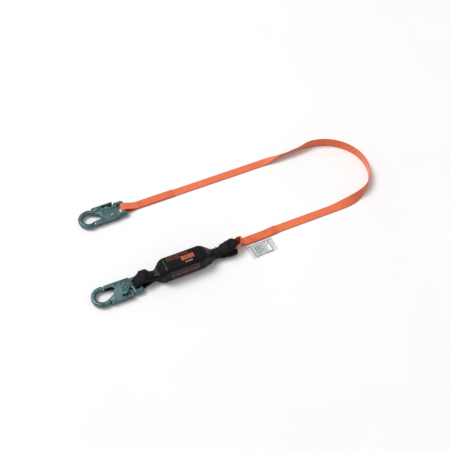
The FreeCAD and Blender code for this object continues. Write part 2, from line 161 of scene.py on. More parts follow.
def sheet_faces(steps_x, steps_y):
    """Faces of a thin sheet from two grids of points, the upper one first, with a rim between them."""
    row, sheet = steps_y + 1, (steps_x + 1) * (steps_y + 1)
    faces = []
    for i in range(steps_x):
        for k in range(steps_y):
            a = i * row + k
            faces.append((a, a + 1, a + row + 1, a + row))
            faces.append((a + sheet, a + row + sheet, a + row + 1 + sheet, a + 1 + sheet))
    rim = [k for k in range(row)] + [i * row + steps_y for i in range(1, steps_x + 1)]
    rim += [steps_x * row + k for k in range(steps_y - 1, -1, -1)]
    rim += [i * row for i in range(steps_x - 1, 0, -1)]
    for a, b in zip(rim, rim[1:] + rim[:1]):
        faces.append((a, a + sheet, b + sheet, b))
    return faces


def ease(t):
    """Smoothly from 0 to 1 as t goes from 0 to 1."""
    t = min(1, max(0, t))
    return t * t * (3 - 2 * t)


def between(x, stations):
    """Eases from value to value through (place, value) stations."""
    if x <= stations[0][0]:
        return stations[0][1]
    for (x0, v0), (x1, v1) in zip(stations, stations[1:]):
        if x <= x1:
            return v0 + (v1 - v0) * ease((x - x0) / (x1 - x0))
    return stations[-1][1]


def hermite(start, start_pull, end, end_pull, t):
    """A point on the curve that leaves start along one pull and meets end along the other."""
    t2, t3 = t * t, t * t * t
    return (start * (2 * t3 - 3 * t2 + 1) + start_pull * (t3 - 2 * t2 + t)
            + end * (3 * t2 - 2 * t3) + end_pull * (t3 - t2))


def heading_vector(angle):
    return Vector((math.cos(angle), math.sin(angle), 0))


def squircle(width, height, power, count):
    """Points (across, up) round a rounded box whose corners sharpen with power."""
    spots = []
    for i in range(count):
        turn = 2 * math.pi * i / count
        c, s = math.cos(turn), math.sin(turn)
        spots.append((math.copysign(abs(c) ** (2 / power), c) * width / 2,
                      math.copysign(abs(s) ** (2 / power), s) * height / 2))
    return spots


def relaxed(points, passes):
    """Rounds off the corners of a path, with its ends held."""
    for _ in range(passes):
        inner = [(a + b * 2 + c) / 4 for a, b, c in zip(points, points[1:], points[2:])]
        points = [points[0]] + inner + [points[-1]]
    return points


def directions(points):
    ends = [points[0]] + points + [points[-1]]
    return [(after - before).normalized() for before, after in zip(ends, ends[2:])]


# ------------------------------------------------------------------ materials

class Graph:
    """Adds and joins the nodes of one material."""

    def __init__(self, name):
        self.material = bpy.data.materials.new(name)
        self.material.use_nodes = True
        self.tree = self.material.node_tree
        self.shader = self.tree.nodes["Principled BSDF"]

    def put(self, socket, value):
        """Links a socket to another node's output, or sets its value."""
        if isinstance(value, bpy.types.NodeSocket):
            self.tree.links.new(value, socket)
        else:
            socket.default_value = value

    def add(self, kind, inputs, **settings):
        node = self.tree.nodes.new(kind)
        for key, value in settings.items():
            setattr(node, key, value)
        for key, value in inputs.items():
            self.put(node.inputs[key], value)
        return node

    def maths(self, operation, a, b=0.0):
        """Any one operation of the maths node."""
        return self.add("ShaderNodeMath", {0: a, 1: b}, operation=operation).outputs[0]

    def mix(self, share, a, b):
        node = self.tree.nodes.new("ShaderNodeMix")
        node.data_type = "RGBA"
        self.put(node.inputs[0], share)
        self.put(node.inputs[6], a)
        self.put(node.inputs[7], b)
        return node.outputs[2]

    def spread(self, value, low, high, to_low=0.0, to_high=1.0):
        """Maps low..high to another range, clamped."""
        inputs = {"Value": value, "From Min": low, "From Max": high, "To Min": to_low, "To Max": to_high}
        return self.add("ShaderNodeMapRange", inputs, interpolation_type="SMOOTHSTEP").outputs[0]

    def place(self):
        return self.add("ShaderNodeTexCoord", {}).outputs["Object"]

    def cloth_uv(self):
        """The places along and across a webbing, in metres."""
        uv = self.add("ShaderNodeUVMap", {}, uv_map="cloth").outputs[0]
        split = self.add("ShaderNodeSeparateXYZ", {0: uv})
        return split.outputs[0], split.outputs[1]

    def noise(self, scale, detail=4.0, rough=0.55, vector=None, stretch=(1, 1, 1)):
        vector = vector or self.place()
        if stretch != (1, 1, 1):
            scaled = self.add("ShaderNodeVectorMath", {0: vector, 1: stretch}, operation="MULTIPLY")
            vector = scaled.outputs[0]
        inputs = {"Vector": vector, "Scale": scale, "Detail": detail, "Roughness": rough}
        return self.add("ShaderNodeTexNoise", inputs).outputs[0]

    def bump(self, height, distance, strength=1.0, normal=None):
        inputs = {"Height": height, "Distance": distance, "Strength": strength}
        if normal:
            inputs["Normal"] = normal
        return self.add("ShaderNodeBump", inputs).outputs[0]

    def finish(self, **inputs):
        for name, value in inputs.items():
            self.put(self.shader.inputs[name.replace("_", " ")], value)
        return self.material


def rgb(red, green, blue):
    """A colour given as screen values from 0 to 255, turned into linear light."""
    def linear(c):
        c /= 255
        return c / 12.92 if c <= 0.04045 else ((c + 0.055) / 1.055) ** 2.4
    return (linear(red), linear(green), linear(blue), 1)


def woven(name, body, weave_shade_and_wear, edge, sheen, warp=1.3 * MM, weft=2.1 * MM):
    """Plain-woven webbing: warp bundles along it, weft across, painted shade in the low parts of the weave,
    a darker selvedge, and soft wear.
    """
    g = Graph(name)
    along, across = g.cloth_uv()
    bundle = g.maths("SINE", g.maths("MULTIPLY", across, math.pi / warp))
    pick = g.maths("SINE", g.maths("MULTIPLY", along, math.pi / weft))
    cross = g.maths("ABSOLUTE", g.maths("MULTIPLY", bundle, pick))
    height = g.maths("POWER", cross, 0.6)
    fuzz = g.noise(2600, 3)
    wear = g.noise(38, 5, 0.6)
    selvedge = g.spread(g.maths("ABSOLUTE", across), 10.1 * MM, 11.6 * MM)
    # Painted shade: the low parts of the weave take the darker colour, as shade between the bundles.
    colour = g.mix(g.spread(height, 0.1, 0.75), weave_shade_and_wear, body)
    colour = g.mix(g.maths("MULTIPLY", selvedge, 0.75), colour, edge)
    # Wear: random patches darken towards the same darker colour.
    colour = g.mix(g.spread(wear, 0.4, 0.75, 0.0, 0.3), colour, weave_shade_and_wear)
    normal = g.bump(g.maths("ADD", height, g.maths("MULTIPLY", fuzz, 0.3)), 0.35 * MM, 0.8)
    return g.finish(Base_Color=colour, Roughness=g.spread(fuzz, 0.2, 0.8, 0.62, 0.86), Normal=normal,
                    Sheen_Weight=sheen, Sheen_Roughness=0.5, Specular_IOR_Level=0.25)


def thread_finish(name, colour, dark):
    """Twisted sewing thread: fine slanted plies, painted darker between them as shade."""
    g = Graph(name)
    twist = g.add("ShaderNodeTexWave", {"Vector": g.place(), "Scale": 900.0, "Distortion": 1.5},
                  bands_direction="DIAGONAL").outputs[1]
    # Painted shade: the dark colour falls in the grooves between the plies.
    return g.finish(Base_Color=g.mix(twist, dark, colour), Roughness=0.6,
                    Normal=g.bump(twist, 0.15 * MM), Specular_IOR_Level=0.3)


def plated(name, colour, dark, bright, rough, grain, bevel):
    """Zinc plate on steel: clouded colour, a fine grain, and rounded edges painted bright, partly as rubbed
    wear and partly as a painted highlight.
    """
    g = Graph(name)
    cloud = g.noise(70, 6, 0.62)
    speck = g.noise(grain, 4, 0.7)
    soft = g.add("ShaderNodeBevel", {"Radius": bevel * MM}, samples=4).outputs[0]
    flat = g.add("ShaderNodeNewGeometry", {}).outputs["True Normal"]
    aligned = g.add("ShaderNodeVectorMath", {0: soft, 1: flat}, operation="DOT_PRODUCT")
    rim_wear_and_highlight = g.spread(aligned.outputs["Value"], 0.99, 0.86)
    base = g.mix(g.spread(cloud, 0.32, 0.7), dark, colour)
    # The rims take the bright colour: partly rubbed wear, partly a painted highlight on the rims.
    base = g.mix(g.maths("MULTIPLY", rim_wear_and_highlight, g.spread(speck, 0.3, 0.6, 0.35, 0.9)), base, bright)
    sheen = g.maths("ADD", g.spread(cloud, 0.3, 0.7, rough - 0.07, rough + 0.1),
                  g.spread(speck, 0.35, 0.7, -0.05, 0.07))
    return g.finish(Base_Color=base, Metallic=0.72, Roughness=sheen,
                    Normal=g.bump(speck, 0.06 * MM, 0.7, soft))


def film_finish(name):
    """Shrink film: near-black with a soft gloss, fine stretch lines and a few scuffs."""
    g = Graph(name)
    pull = g.noise(260, 4, 0.6, stretch=(0.25, 1, 1))
    scuff = g.spread(g.noise(120, 6, 0.7), 0.56, 0.78)
    colour = g.mix(g.maths("MULTIPLY", scuff, 0.35), rgb(11, 10, 11), rgb(58, 52, 52))
    return g.finish(Base_Color=colour, Roughness=g.spread(pull, 0.3, 0.75, 0.3, 0.46),
                    Normal=g.bump(pull, 0.5 * MM, 0.7), Coat_Weight=0.05, Coat_Roughness=0.25,
                    Specular_IOR_Level=0.16)


def sleeve_finish(name):
    """Tight black sleeve cloth with a fine slanting rib."""
    g = Graph(name)
    rib = g.add("ShaderNodeTexWave", {"Vector": g.place(), "Scale": 260.0, "Distortion": 0.6},
                bands_direction="DIAGONAL").outputs[1]
    fold = g.noise(90, 5, 0.6)
    dust = g.spread(g.noise(900, 3), 0.55, 0.8, 0.0, 0.25)
    colour = g.mix(dust, rgb(11, 10, 11), rgb(32, 31, 36))
    height = g.maths("ADD", g.maths("MULTIPLY", rib, 0.25), fold)
    return g.finish(Base_Color=colour, Roughness=g.spread(fold, 0.3, 0.7, 0.42, 0.6),
                    Normal=g.bump(height, 0.9 * MM, 0.8), Sheen_Weight=0.03, Specular_IOR_Level=0.14)


def print_finish(name, ink, worn):
    """Ink on film, rubbed thin in places."""
    g = Graph(name)
    rub = g.spread(g.noise(420, 5, 0.7), 0.45, 0.7)
    return g.finish(Base_Color=g.mix(g.maths("MULTIPLY", rub, 0.6), ink, worn), Roughness=0.42,
                    Normal=g.bump(rub, 0.05 * MM))


def vinyl_finish(name):
    """Clear vinyl: thin, pale and glossy, a little milky where it has creased."""
    g = Graph(name)
    crease = g.noise(55, 5, 0.6)
    haze = g.spread(crease, 0.35, 0.75, 0.04, 0.26)
    return g.finish(Base_Color=rgb(226, 230, 232), Roughness=0.16, Alpha=haze,
                    Normal=g.bump(crease, 1.2 * MM, 0.6), Coat_Weight=0.5)


def paper_finish(name, colour, dark):
    """Card with a fine fibre, or ink on it."""
    g = Graph(name)
    fibre = g.noise(700, 5, 0.65)
    return g.finish(Base_Color=g.mix(g.spread(fibre, 0.3, 0.7), dark, colour), Roughness=0.7,
                    Normal=g.bump(fibre, 0.05 * MM))


# The second colour of each webbing is its painted shade in the weave's low parts, also used for its wear.
orange = woven("orange_polyester", rgb(250, 132, 82), rgb(216, 92, 50), rgb(205, 88, 54), 0.35)
black_web = woven("black_polyester", rgb(20, 20, 23), rgb(9, 9, 11), rgb(14, 14, 16), 0.06)
tear_web = woven("tear_polyester", rgb(60, 58, 56), rgb(34, 33, 32), rgb(40, 39, 38), 0.2)
# The second colour of each thread is its painted shade between the plies.
orange_thread = thread_finish("orange_thread", rgb(214, 84, 44), rgb(150, 50, 26))
black_thread = thread_finish("black_thread", rgb(44, 44, 48), rgb(18, 18, 20))
# The third colour of each plating is its bright rims: rubbed wear and a painted highlight together.
forged_zinc = plated("forged_zinc", rgb(96, 124, 127), rgb(62, 90, 93), rgb(188, 206, 207),
                     rough=0.36, grain=900, bevel=0.5)
sheet_zinc = plated("sheet_zinc", rgb(104, 132, 135), rgb(72, 100, 103), rgb(198, 214, 215),
                    rough=0.28, grain=1500, bevel=0.35)
rivet_steel = plated("rivet_steel", rgb(150, 168, 172), rgb(108, 128, 132), rgb(220, 228, 229),
                     rough=0.25, grain=1200, bevel=0.3)
spring_steel = plated("spring_steel", rgb(112, 116, 120), rgb(76, 80, 84), rgb(180, 184, 188),
                      rough=0.3, grain=1800, bevel=0.15)
film = film_finish("shrink_film")
sleeve_cloth = sleeve_finish("sleeve_cloth")
orange_ink = print_finish("orange_ink", rgb(186, 84, 50), rgb(96, 46, 32))
red_ink = print_finish("red_ink", rgb(112, 50, 38), rgb(62, 34, 30))
pale_ink = print_finish("pale_ink", rgb(150, 132, 116), rgb(86, 72, 64))
brown_ink = print_finish("brown_ink", rgb(78, 44, 36), rgb(44, 27, 25))
vinyl = vinyl_finish("clear_vinyl")
card_paper = paper_finish("card_paper", rgb(250, 251, 252), rgb(236, 239, 241))
card_ink = paper_finish("card_ink", rgb(46, 44, 52), rgb(28, 27, 34))
booklet_paper = paper_finish("booklet_paper", rgb(196, 202, 206), rgb(172, 179, 184))


# ------------------------------------------------------------------ webbing

def lying(points, side, height):
    """Path stops at a height over the floor, each with the webbing's across direction."""
    return [(Vector((p.x, p.y, height)), side) for p in points]


def run_place(x):
    """The middle of the webbing on the floor at x, from the link to the straight run."""
    return Vector((x, between(x, lap_places), 0))


def eye_leg(sign):
    """Stops along one leg of the standing eye, from the doubled length to the black loop.
    It twists on to its edge and parts from the other leg: sign 1 is the upper layer, -1 the lower."""
    flat = run_place(lap_start_x)
    root = link_point.xy.to_3d() + link_ahead * eye_standing
    pull = (flat - root).length
    apart = layer_2 - layer_1
    stops = []
    count = 14
    for i in range(count + 1):
        share = ease(i / count)
        middle = hermite(flat, -X * pull, root, -link_ahead * pull, i / count)
        side = Y.lerp(link_side, share).normalized()
        tip = math.pi / 2 * share
        lean = link_lean * share
        gap = apart + (2 * eye_half - apart) * share
        resting = (gap + apart) / 2 * math.cos(tip) + web_half * math.sin(tip)
        height = resting + (link_point.z - web_half) * share
        across = side * math.cos(tip + lean) + Z * math.sin(tip + lean)
        normal = Z * math.cos(tip) - side * math.sin(tip)
        stops.append((middle + Z * height + normal * (sign * gap / 2), across))
    return stops


def eye_end():
    """Stops round the webbing's standing end inside the black loop, from the near leg to the far one."""
    plan = []
    hub_along, hub_aside = eye_wall + eye_corner, eye_half - eye_corner
    for along in range(eye_standing - stop_gap, int(hub_along), -stop_gap):
        plan.append((along, -eye_half))
    for degrees in range(0, 91, 15):
        turn = math.radians(degrees)
        plan.append((hub_along - eye_corner * math.sin(turn), -hub_aside - eye_corner * math.cos(turn)))
    near_half = plan + [(eye_wall, -hub_aside * 0.6), (eye_wall, -hub_aside * 0.2)]
    far_half = [(along, -aside) for along, aside in reversed(near_half)]
    return [(link_point + link_ahead * along + link_side * aside, link_up)
            for along, aside in near_half + far_half]


def wrap(centre, ahead, radius, tail, low, high):
    """Side view of webbing round a bar: from the lower layer out at tail, round, to the upper layer."""
    low_z, high_z = low - centre.z, high - centre.z
    first = math.atan2(low_z, tail) - math.acos(min(1, radius / math.hypot(tail, low_z)))
    last = math.atan2(high_z, tail) + math.acos(min(1, radius / math.hypot(tail, high_z))) - 2 * math.pi
    steps = max(14, int(radius * (first - last) / 2.2))
    stops = [centre + ahead * tail + Z * low_z]
    for i in range(steps + 1):
        turn = first + (last - first) * i / steps
        stops.append(centre + ahead * (radius * math.cos(turn)) + Z * (radius * math.sin(turn)))
    stops.append(centre + ahead * tail + Z * high_z)
    filled = []
    for a, b in zip(stops, stops[1:]):
        pieces = max(1, round((b - a).length / stop_gap))
        filled += [a.lerp(b, i / pieces) for i in range(pieces)]
    return filled + [stops[-1]]


def on_edge(place, side, tip):
    """A stop on the floor, tipped up from lying flat: at 90 degrees the webbing stands on its edge."""
    turn = math.radians(tip)
    height = web_half * abs(math.sin(turn)) + web_thick / 2 * abs(math.cos(turn))
    return place + Z * height, side * math.cos(turn) + Z * math.sin(turn)


def bend_stop(along):
    """A stop at a distance along from the start of the bend. The webbing rolls up on to its edge before
    the bend and part way round it, and rolls down the same way after it."""
    turn = math.radians(-90) + min(max(along, 0), bend_length) / bend_radius
    outward = heading_vector(turn)
    past = along - bend_length
    straight = X * along if along < 0 else -X * past if past > 0 else Vector()
    tip = min(between(along, near_roll), between(-past, far_roll))
    return on_edge(bend_centre + outward * bend_radius + straight, -outward, tip)


def webbing_stops():
    """The whole webbing's path: free end on the pack side, round the link, along, round the bend and back.
    Returns its stops and the places of the cuts between pieces."""
    roll_start, roll_end = bend_centre.x + near_roll[0][0], bend_centre.x + far_roll[0][0]
    lap = [run_place(x) for x in range(lap_start_x + stop_gap, lap_end_x + 1, stop_gap)]
    run = [run_place(x) for x in range(lap_end_x + stop_gap, int(roll_start), stop_gap)]
    stops = lying(reversed(lap), Y, layer_2)
    stops += eye_leg(1) + eye_end() + eye_leg(-1)[::-1]
    stops += lying(lap + run, Y, layer_1)
    spacing = bend_length / (bend_stops * (bend_bodies + 1))
    first = int(near_roll[0][0] / spacing)
    last = int((bend_length - far_roll[0][0]) / spacing)
    cuts = [len(stops) - first + bend_stops * (i + 1) for i in range(bend_bodies)]
    stops += [bend_stop(i * spacing) for i in range(first, last + 1)]
    far_run = range(int(roll_end) - stop_gap, int(anchor_bar.x + anchor_lap[0]), -stop_gap)
    stops += lying([Vector((x, far_y, 0)) for x in far_run], -Y, layer_1)
    round_bar = wrap(anchor_bar, X, bar_wrap_radius, anchor_lap[0], layer_1, layer_2)
    stops += [(p, -Y) for p in round_bar]
    lap_start, lap_end = (int(anchor_bar.x) + end for end in anchor_lap)
    top = range(lap_start + stop_gap, lap_end, stop_gap)
    stops += lying([Vector((x, far_y, 0)) for x in top], -Y, layer_2)
    return stops, cuts


def webbing_section():
    """(across, out) round the webbing: ribbed faces, a groove beside each selvedge, rounded edges."""
    flat_half = web_half - selvedge_round
    groove_place, groove_width, groove_depth = 9.9, 0.7, 0.16
    rib_height, rib_pitch = 0.05, 1.9
    count = 27
    face = []
    for i in range(count):
        v = flat_half * (2 * i / (count - 1) - 1)
        groove = groove_depth * math.exp(-((abs(v) - groove_place) / groove_width) ** 2)
        rib = rib_height * math.cos(2 * math.pi * v / rib_pitch)
        face.append((v, web_thick / 2 - groove + rib))
    edge = []
    for angle in (55, 20, -20, -55):
        turn = math.radians(angle)
        edge.append((flat_half + selvedge_round * math.cos(turn), web_thick / 2 * math.sin(turn)))
    return face + edge + [(-v, -out) for v, out in face] + [(-v, -out) for v, out in edge]


def webbing_rings():
    """The webbing's section at every stop, with its cloth coordinates and the places of the cuts."""
    stops, cuts = webbing_stops()
    points = relaxed([p for p, _ in stops], 6)
    section = webbing_section()
    rings, uvs, along = [], [], 0.0
    for i, (point, ahead) in enumerate(zip(points, directions(points))):
        normal = ahead.cross(stops[i][1]).normalized()
        across = normal.cross(ahead)
        along += (point - points[i - 1]).length if i else 0
        rings.append([point + across * v + normal * out for v, out in section])
        uvs.append([(along * MM, v * MM) for v, _ in section])
    return rings, uvs, cuts


def webbing_pieces():
    """One piece per hinge of the bend, each cut where a body is stiff and bent across its own hinge."""
    rings, uvs, cuts = webbing_rings()
    edges = [0] + cuts + [len(rings) - 1]
    for i, (first, last) in enumerate(zip(edges, edges[1:])):
        some_uvs = [uv for ring in uvs[first:last + 1] for uv in ring]
        piece = skinned("orange_webbing_%d" % (i + 1), rings[first:last + 1], orange, some_uvs)
        nodes = ["webbing_pack_run"] if i == 0 else ["webbing_bend_%d" % i]
        if i == bend_bodies:
            nodes.append("webbing_anchor_run")
        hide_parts(*nodes)
        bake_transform(piece)


def stitch(start, end, up, thickness, rise):
    """One raised stitch: a round thread that dips into the cloth at both ends."""
    ahead = (end - start).normalized()
    side = up.cross(ahead)
    spots = []
    steps, around = 4, 6
    for i in range(steps + 1):
        t = i / steps
        lift = rise * math.sin(math.pi * t) - thickness * 0.35
        swell = thickness / 2 * (0.6 + 0.4 * math.sin(math.pi * t))
        for k in range(around):
            turn = 2 * math.pi * k / around
            middle = start.lerp(end, t) + up * (lift + swell * math.sin(turn))
            spots.append(middle + side * (swell * math.cos(turn)))
    faces = []
    for i in range(steps):
        for k in range(around):
            m = (k + 1) % around
            faces.append((i * around + k, i * around + m, (i + 1) * around + m, (i + 1) * around + k))
    faces.append(tuple(range(around)))
    faces.append(tuple(steps * around + k for k in range(around)))
    return spots, faces


def sewn(name, lines, up, finish, thickness=0.85, pitch=3.4):
    """Rows of stitches along straight lines, as one piece."""
    filled_share, rise = 0.82, 0.5
    points, faces = [], []
    for start, end in lines:
        count = max(1, round((end - start).length / pitch))
        for i in range(count):
            a, b = start.lerp(end, i / count), start.lerp(end, (i + filled_share) / count)
            spots, sides = stitch(a, b, up, thickness, rise)
            faces += [tuple(k + len(points) for k in side) for side in sides]
            points += spots
    return made(name, points, faces, finish)


def lap_seam(length):
    """A box of stitching with a W run inside it, on +X from the origin: (start, end) pairs."""
    edge = web_half - 2.6
    rows = [(0, y, length, y) for y in (-edge, -edge / 3, edge / 3, edge)]
    rows += [(x, -edge, x, edge) for x in (0, 2.2, length - 2.2, length)]
    zigzag = 9
    for x in (5, length - 5 - zigzag):
        rows += [(x, -edge, x + zigzag, edge), (x, edge, x + zigzag, -edge)]
    return [(Vector((a, b, 0)), Vector((c, d, 0))) for a, b, c, d in rows]


def anchor_seam():
    """The anchor end's seam, over its straight doubled length."""
    top = layer_2 + web_thick / 2
    start = Vector((anchor_bar.x + 42, far_y, top))
    lines = [(start + a, start + b) for a, b in lap_seam(anchor_lap[1] - 48)]
    seam = sewn("anchor_end_seam", lines, Z, orange_thread)
    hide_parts("anchor_end_stitching")
    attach(seam, "anchor_run")


def pack_seam():
    """The pack side's seam, laid along the curve of the doubled length."""
    top = layer_2 + web_thick / 2
    curve = [run_place(x) for x in range(lap_start_x + 6, lap_end_x + 1, stop_gap)]
    lengths = [0.0]
    for a, b in zip(curve, curve[1:]):
        lengths.append(lengths[-1] + (b - a).length)

    def on_curve(flat):
        for a, b, low, high in zip(curve, curve[1:], lengths, lengths[1:]):
            if flat.x <= high or high == lengths[-1]:
                ahead = (b - a).normalized()
                return a + ahead * (flat.x - low) + Z.cross(ahead) * flat.y + Z * top
    lines = []
    for a, b in lap_seam(lengths[-1] - 6):
        shift = X * 2.5
        parts = max(1, round((b - a).length / 7))
        spots = [on_curve(a.lerp(b, i / parts) + shift) for i in range(parts + 1)]
        lines += list(zip(spots, spots[1:]))
    seam = sewn("pack_end_seam", lines, Z, orange_thread)
    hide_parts("pack_end_stitching")
    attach(seam, "pack_run")


# ------------------------------------------------------------------ black loops

def band(name, spine, across, widths, thicks, power, crumple, finish, ring_points=44):
    """A padded strip swept along a spine of points, creased by smooth noise."""
    rings = []
    ahead = directions(spine)
    for i, point in enumerate(spine):
        normal = ahead[i].cross(across[i]).normalized()
        side = normal.cross(ahead[i])
        ring = []
        for a, b in squircle(widths[i], thicks[i], power, ring_points):
            spot = point + side * a + normal * b
            out = (side * (a / widths[i]) + normal * (b / thicks[i])).normalized()
            crease = noise.noise(spot * 0.11) + 0.5 * abs(noise.noise(spot * 0.27 + X * 9)) - 0.2
            ring.append(spot + out * (crumple[i] * crease))
        rings.append(ring)
    return skinned(name, rings, finish)


def loop_spine(hub, out, neck, inward, radii, low, high, shifts):
    """Side path of a black loop: lower leg from the pack, round the hub, upper leg back to the pack.
    Gives the points, the across directions, and each point's place: -1 to 0 along the lower leg,
    0 to 1 round the arc, 1 to 2 along the upper leg. low and high are heights along the legs, and
    shifts moves the path sideways."""
    arc_steps, leg_steps = 16, 26
    foot = hub.xy.to_3d()
    pull = (neck - foot).length
    bottom, top = radii

    def leg_point(u, stations):
        place = hermite(foot, out * pull, neck, inward * pull, u) + Z * between(u, stations)
        return place, Z.cross(out).lerp(Z.cross(inward), ease(u))
    stops = []
    for i in range(leg_steps, 0, -1):
        u = i / leg_steps
        stops.append(leg_point(u, ((0, hub.z - bottom),) + low) + (-u,))
    for i in range(arc_steps + 1):
        share = i / arc_steps
        turn = math.radians(-90 - 180 * share)
        radius = bottom + (top - bottom) * share
        place = hub + out * (radius * math.cos(turn)) + Z * (radius * math.sin(turn))
        stops.append((place, Z.cross(out), share))
    for i in range(1, leg_steps + 1):
        u = i / leg_steps
        stops.append(leg_point(u, ((0, hub.z + top),) + high) + (1 + u,))
    sign = 1 if out.x > 0 else -1
    points = [p + a.normalized() * (between(v, shifts) * sign) for p, a, v in stops]
    return points, [a for _, a, _ in stops], [v for _, _, v in stops]


def black_loop(name, spine, widths, thicks, crumple, web_width):
    """The webbing of a loop and the wear sleeve round it, both held by the pack."""
    points, across, places = spine
    count = len(points)
    inner_thick, padded_power, flat_power = 2.0, 2.7, 6.0
    sleeve_widths, sleeve_thicks = [between(v, widths) for v in places], [between(v, thicks) for v in places]
    creases = [between(v, crumple) for v in places]
    sleeve = band(name + "_sleeve", points, across, sleeve_widths, sleeve_thicks, padded_power, creases,
                  sleeve_cloth)
    web = band(name + "_loop_web", points, across, [web_width] * count, [inner_thick] * count, flat_power,
               [0.0] * count, black_web)
    for piece, node in ((sleeve, name + "_loop_sleeve"), (web, name + "_loop")):
        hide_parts(node)
        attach(piece, "pack")


def harness_loop_pieces():
    """The loop round the harness hook's bar, whose upper leg puffs out before the pack."""
    neck = Vector((pack_mouths[0] + 14, pack_y, 0))
    low, high = ((0.45, 7.2), (1, 12)), ((0.3, 25.5), (0.75, 21.5), (1, 20))
    shifts = ((-0.5, 1), (0, 0), (0.6, 0), (1, 5), (1.3, 6.5), (1.8, 0))
    spine = loop_spine(harness_bar, harness_out, neck, X, (7.5, 13.0), low, high, shifts)
    widths = ((-1, 27), (-0.5, 30), (-0.2, 28), (0.7, 28), (1, 32), (1.25, 39), (1.4, 40), (1.75, 30),
              (2, 27))
    thicks = ((-1, 10), (-0.4, 12), (0, 3.4), (0.5, 8), (1, 12.2), (1.3, 15.5), (1.7, 13), (2, 11))
    crumple = ((-1, 1.6), (-0.35, 1.3), (-0.1, 0.3), (0.6, 0.3), (1.1, 1.6), (2, 1.6))
    black_loop("harness", spine, widths, thicks, crumple, 27.6)


def lanyard_loop_pieces():
    """The loop round the webbing's standing eye, pinched narrow between the eye's two legs."""
    neck = Vector((pack_mouths[1] - 10, pack_y, 0))
    low, high = ((0.35, 7.2), (1, 12)), ((0.3, 25.0), (0.8, 19.5), (1, 20))
    shifts = ((-0.8, 0), (-0.2, -3), (0, 0))
    spine = loop_spine(link_point, -link_ahead, neck, -X, (link_radius, link_radius + 0.4),
                       low, high, shifts)
    widths = ((-1, 27), (-0.6, 33), (-0.15, 37), (0, 30), (0.2, 15), (0.75, 15), (1, 31), (1.3, 36),
              (1.5, 35), (1.8, 27))
    thicks = ((-1, 10), (-0.35, 12.5), (-0.1, 3.4), (1, 4.4), (1.3, 13.5), (1.7, 12), (2, 11))
    crumple = ((-1, 1.6), (-0.4, 1.5), (-0.1, 0.3), (1, 0.3), (1.3, 1.6), (2, 1.6))
    black_loop("lanyard", spine, widths, thicks, crumple, 14.4)


# ------------------------------------------------------------------ shock pack

def pack_outline(x):
    """Half width, bottom, top and corner power of the film at x."""
    first, last = pack_mouths
    half = between(x, ((first, 16), (first + 7, 14.5), (first + 13, 15), (first + 32, 26.6),
                       (last - 54, 26.6), (last - 34, 22), (last - 12, 15), (last - 7, 14), (last, 16)))
    low = between(x, ((first, 5), (first + 8, 5), (first + 22, 0.35),
                      (last - 34, 0.35), (last - 10, 5.5), (last, 4.5)))
    high = between(x, ((first, 29), (first + 8, 27), (first + 18, 28.5), (first + 43, 46.6),
                       (last - 46, 46.6), (last - 12, 27), (last, 28)))
    power = between(x, ((first + 8, 2.4), (first + 34, 5), (last - 50, 5), (last - 14, 2.4)))
    return half, low, high, power


def film_point(x, turn, lift=0.0):
    """A point on the film at x and at an angle round it, with the folds of its gathered ends."""
    half, low, high, power = pack_outline(x)
    c, s = math.cos(turn), math.sin(turn)
    spread = math.copysign(abs(c) ** (2 / power), c)
    rise = math.copysign(abs(s) ** (2 / power), s)
    first, last = pack_mouths
    ends = max(1 - ease((x - first - 12) / 26), 1 - ease((last - 12 - x) / 26))
    fold = -abs(math.sin(4.5 * turn + 0.05 * x + 1.2 * math.sin(2 * turn))) ** 0.7 + 0.5
    fine = noise.noise(Vector((x * 0.12, 3 * c, 3 * s)))
    dent = noise.noise(Vector((x * 0.045, 1.6 * c + 7, 1.6 * s)))
    out = lift + ends * (1.5 * fold + 1.1 * fine) + 0.5 * dent * (1 - ends)
    y = pack_y + spread * (half + out)
    z = (low + high) / 2 + rise * ((high - low) / 2 + out)
    return Vector((x, y, max(z, 0.3)))


def film_cover():
    """The shrink film as one skin, with lips turned in at both mouths."""
    first, last = pack_mouths
    step, around = 1.5, 112
    count = int((last - first) / step)
    rings = []
    for i in range(count + 1):
        x = first + (last - first) * i / count
        rings.append([film_point(x, 2 * math.pi * k / around) for k in range(around)])

    def lip(ring, shift, share):
        middle = sum(ring, Vector()) / len(ring)
        return [middle + (p - middle) * share + X * shift for p in ring]
    start, end = rings[0], rings[-1]
    rings = [lip(start, 5, 0.7), lip(start, 1.5, 0.9), lip(start, -0.6, 0.96)] + rings
    rings += [lip(end, 0.6, 0.96), lip(end, -1.5, 0.9), lip(end, -5, 0.7)]
    cover = skinned("shock_pack_film", rings, film)
    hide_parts("pack_cover")
    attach(cover, "pack")


def print_patch(x0, x1, turn0, turn1):
    """A thin printed patch that follows the film between two places and two angles."""
    lift, depth = 0.22, 0.5
    steps_x = max(2, int((x1 - x0) / 1.5))
    steps_t = max(2, int(abs(turn1 - turn0) / 0.03))
    points = []
    for level in (lift, lift - depth):
        for i in range(steps_x + 1):
            x = x0 + (x1 - x0) * i / steps_x
            for k in range(steps_t + 1):
                points.append(film_point(x, turn0 + (turn1 - turn0) * k / steps_t, level))
    return points, sheet_faces(steps_x, steps_t)


def printed(name, patches, finish):
    """Several patches as one piece on the pack."""
    points, faces = [], []
    for patch in patches:
        spots, sides = print_patch(*patch)
        faces += [tuple(k + len(points) for k in side) for side in sides]
        points += spots
    piece = sharpen(made(name, points, faces, finish))
    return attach(piece, "pack")


def top_turn(share):
    """The angle round the film at a share of the way over its top, from the near edge to the far one."""
    side = -1 + 2 * share
    power = pack_outline(sum(pack_mouths) / 2)[3]
    c = math.copysign(abs(side) ** (power / 2), side)
    return math.acos(c)


def bars_along(x, lengths, gap, upper, lower):
    """Patches of given lengths in a row along the top, from x, between two shares of the way over it."""
    patches = []
    for length in lengths:
        patches.append((x, x + length, top_turn(upper), top_turn(lower)))
        x += length + gap
    return patches


